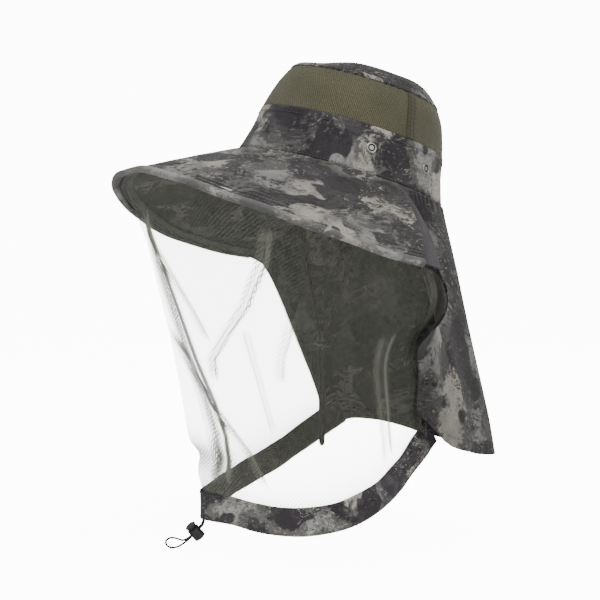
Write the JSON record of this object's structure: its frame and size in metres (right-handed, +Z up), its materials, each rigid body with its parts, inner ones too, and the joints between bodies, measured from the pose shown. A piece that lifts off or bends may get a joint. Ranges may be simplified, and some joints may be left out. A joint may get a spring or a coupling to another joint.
{
  "type": "beekeeping veil hat",
  "caption": "Broad-brimmed camouflage cloth hat with a mesh crown, neck flap, face net, drawcord neck band with cord lock, and a sliding chin cord.",
  "frame": {"origin": "centre of the head opening, at the crown's lower edge", "axes": "+Z up as the hat hangs on a head, -Y to the wearer's front, +X to the wearer's left; the crown leans 17 degrees to the rear"},
  "size_m": [0.4473, 0.3558, 0.4412],
  "materials": {
    "camouflage_cloth": "matt woven cloth printed in grey, dark violet grey and beige patches",
    "camouflage_trim": "matt folded cloth, dark",
    "olive_mesh": "matt knitted mesh with fine cells",
    "olive_lining": "matt woven cloth",
    "stiffener": "matt, hidden between the brim cloths",
    "veil_net": "sheer fine net",
    "olive_tape": "matt woven tape",
    "steel": "satin plated steel",
    "black_plastic": "satin moulded plastic",
    "black_cord": "matt braided cord"
  },
  "bodies": {
    "hat": {"crown_top_panel": "camouflage_cloth", "crown_band": "camouflage_cloth", "sweatband": "olive_tape", "crown_top_seam": "camouflage_trim", "crown_mesh_front": "olive_mesh", "crown_mesh_rear": "olive_mesh", "crown_mesh_seam_left": "olive_mesh", "crown_mesh_seam_right": "olive_mesh", "stud_cap_left_front": "steel", "stud_socket_left_front": "steel", "stud_cap_left_rear": "steel", "stud_socket_left_rear": "steel", "stud_cap_right_front": "steel", "stud_socket_right_front": "steel", "stud_cap_right_rear": "steel", "stud_socket_right_rear": "steel", "brim_top": "camouflage_cloth", "brim_core": "stiffener", "brim_lining": "olive_lining", "brim_edge_binding": "camouflage_trim", "net_top_tape": "olive_tape", "brim_end_fold_left": "camouflage_trim", "brim_end_fold_right": "camouflage_trim", "neck_flap": "camouflage_cloth", "flap_hem": "camouflage_trim", "flap_front_hem_left": "olive_tape", "flap_front_hem_right": "olive_tape", "neck_band_outer": "camouflage_cloth", "neck_band_inner": "olive_lining", "face_net": "veil_net", "drawcord_loop": "black_cord", "drawcord_in_band_left": "black_cord", "drawcord_in_band_right": "black_cord", "chin_cord": "black_cord", "chin_tab_left": "olive_tape", "chin_tab_right": "olive_tape"},
    "cord_lock": {"cord_lock_barrel": "black_plastic", "cord_lock_spring": "steel"},
    "lock_plunger": {"cord_lock_plunger": "black_plastic"},
    "slider": {"chin_slider": "black_plastic"}
  },
  "joints": [
    {"name": "cord_lock_slide", "type": "slide", "parent": "hat", "child": "cord_lock", "axis": [0, -0.7547, -0.6561], "range_m": [-0.003, 0.003]},
    {"name": "cord_lock_press", "type": "slide", "parent": "cord_lock", "child": "lock_plunger", "axis": [0, 0.6561, -0.7547], "range_m": [0, 0.0022], "stiffness_N_per_m": 800, "springref_m": -0.002, "deforming": ["cord_lock_spring"]},
    {"name": "chin_slider_slide", "type": "slide", "parent": "hat", "child": "slider", "axis": [0, 0, 1], "range_m": [-0.08, 0]}
  ]
}
